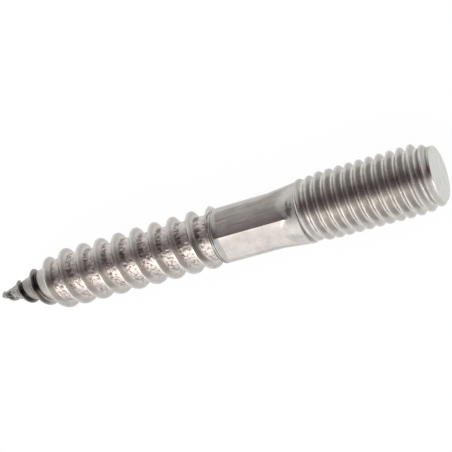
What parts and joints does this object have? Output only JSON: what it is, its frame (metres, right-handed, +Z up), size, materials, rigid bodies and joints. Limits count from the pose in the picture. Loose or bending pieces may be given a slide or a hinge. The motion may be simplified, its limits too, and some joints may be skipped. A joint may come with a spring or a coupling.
{
  "type": "hanger bolt",
  "caption": "Headless stainless stud with a machine thread on one end, a coarse wood thread with a gimlet point on the other, and a shank pressed to hexagon flats between them.",
  "frame": {"origin": "on the surface the bolt lies on, under the middle of its length and under its axis", "axes": "+X along the bolt's axis towards the machine-threaded end, +Z up from the surface, +Y square to both"},
  "size_m": [0.06, 0.008, 0.008],
  "materials": {
    "steel": "bright rolled stainless steel, smooth on the crests and flats, torn and matt in the valleys of the wood thread"
  },
  "bodies": {
    "root": {"hanger_bolt": "steel"}
  },
  "joints": []
}
